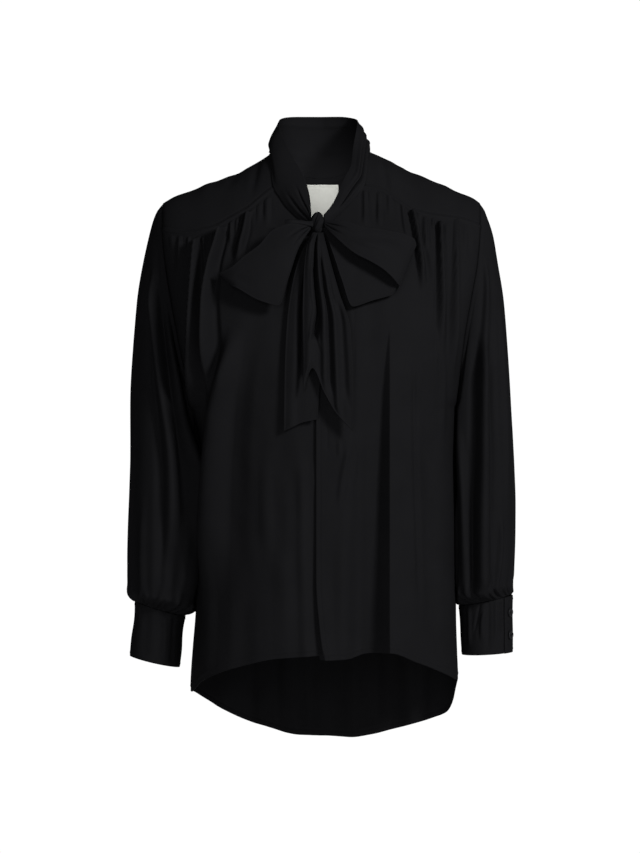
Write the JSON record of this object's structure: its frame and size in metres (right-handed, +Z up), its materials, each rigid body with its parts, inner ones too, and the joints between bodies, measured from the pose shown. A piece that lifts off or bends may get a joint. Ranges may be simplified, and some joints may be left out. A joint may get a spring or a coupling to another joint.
{
  "type": "blouse",
  "caption": "Long-sleeved blouse with a standing neck band tied in a bow, gathers under a forward yoke, deep cuffs and a hem that dips at the back.",
  "frame": {"origin": "middle of the neck opening, level with the neck ends of the shoulder lines, where the worn blouse is held", "axes": "+Z up, the front faces -Y, and +X is the wearer's left"},
  "size_m": [0.5185, 0.2684, 0.8466],
  "materials": {
    "black_crepe": "fine black crepe with a soft sheen",
    "label_satin": "plain off-white satin, no lettering",
    "button_black": "polished black"
  },
  "bodies": {
    "root": {"yoke": "black_crepe", "front_right": "black_crepe", "front_left": "black_crepe", "back": "black_crepe", "sleeve_right": "black_crepe", "sleeve_left": "black_crepe", "cuff_right": "black_crepe", "cuff_left": "black_crepe", "neck_band": "black_crepe", "bow_knot": "black_crepe", "bow_loop_right": "black_crepe", "bow_loop_left": "black_crepe", "tie_tail_right": "black_crepe", "tie_tail_left": "black_crepe", "neck_label": "label_satin", "cuff_button_right_1": "button_black", "cuff_button_right_2": "button_black", "cuff_button_left_1": "button_black", "cuff_button_left_2": "button_black"}
  },
  "joints": []
}
